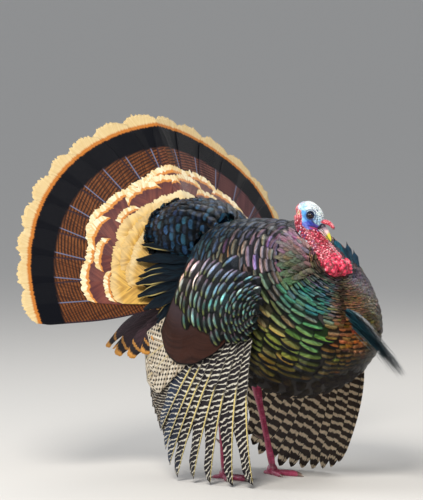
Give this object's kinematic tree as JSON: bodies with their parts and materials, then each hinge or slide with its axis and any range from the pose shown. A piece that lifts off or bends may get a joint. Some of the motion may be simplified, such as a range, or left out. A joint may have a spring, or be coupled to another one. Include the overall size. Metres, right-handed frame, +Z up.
{
  "type": "wild turkey",
  "caption": "Life-size still model of a male wild turkey in full strut, tail fanned, wings drooped, head drawn back over a puffed breast, standing on its own feet.",
  "frame": {"origin": "on the floor, under the middle of the model's overall box", "axes": "+X the way the bird faces, +Y its left, +Z up"},
  "size_m": [0.78, 0.7834, 0.7222],
  "materials": {
    "coat": "iridescent bronze-green contour feathers, dark edged",
    "rump_coat": "blue-black glossy feathers",
    "tail": "barred chestnut tail feathers with a black band and cream tips",
    "tail_cover": "chestnut and buff coverts with cream tips",
    "down": "soft dark feathers with buff tips",
    "wing_cover": "iridescent teal and copper coverts",
    "tertial": "dark brown, purple sheen",
    "secondary": "finely barred cream and black",
    "primary": "barred black and white",
    "head_skin": "blue and white bare skin",
    "neck_skin": "red bare skin",
    "wattle": "coral red, bumpy",
    "horn": "horn, dark base to pale tip",
    "spur_horn": "dark horn",
    "eye": "glossy dark brown",
    "bristle": "blue-black bristles",
    "leg_skin": "raspberry pink scaled skin"
  },
  "bodies": {
    "root": {"trunk": "coat", "rump": "rump_coat", "vent": "down", "undertail_coverts": "down", "tail_fan": "tail", "tail_coverts": "tail_cover", "head": "head_skin", "neck": "neck_skin", "caruncles": "wattle", "snood": "wattle", "bill_upper": "horn", "bill_lower": "horn", "eye_left": "eye", "eye_right": "eye", "beard": "bristle", "wing_left_shoulder": "wing_cover", "wing_left_tertials": "tertial", "wing_left_secondaries": "secondary", "wing_left_primaries": "primary", "thigh_left": "down", "shank_left": "leg_skin", "foot_left": "leg_skin", "spur_left": "spur_horn", "wing_right_shoulder": "wing_cover", "wing_right_tertials": "tertial", "wing_right_secondaries": "secondary", "wing_right_primaries": "primary", "thigh_right": "down", "shank_right": "leg_skin", "foot_right": "leg_skin", "spur_right": "spur_horn"}
  },
  "joints": []
}
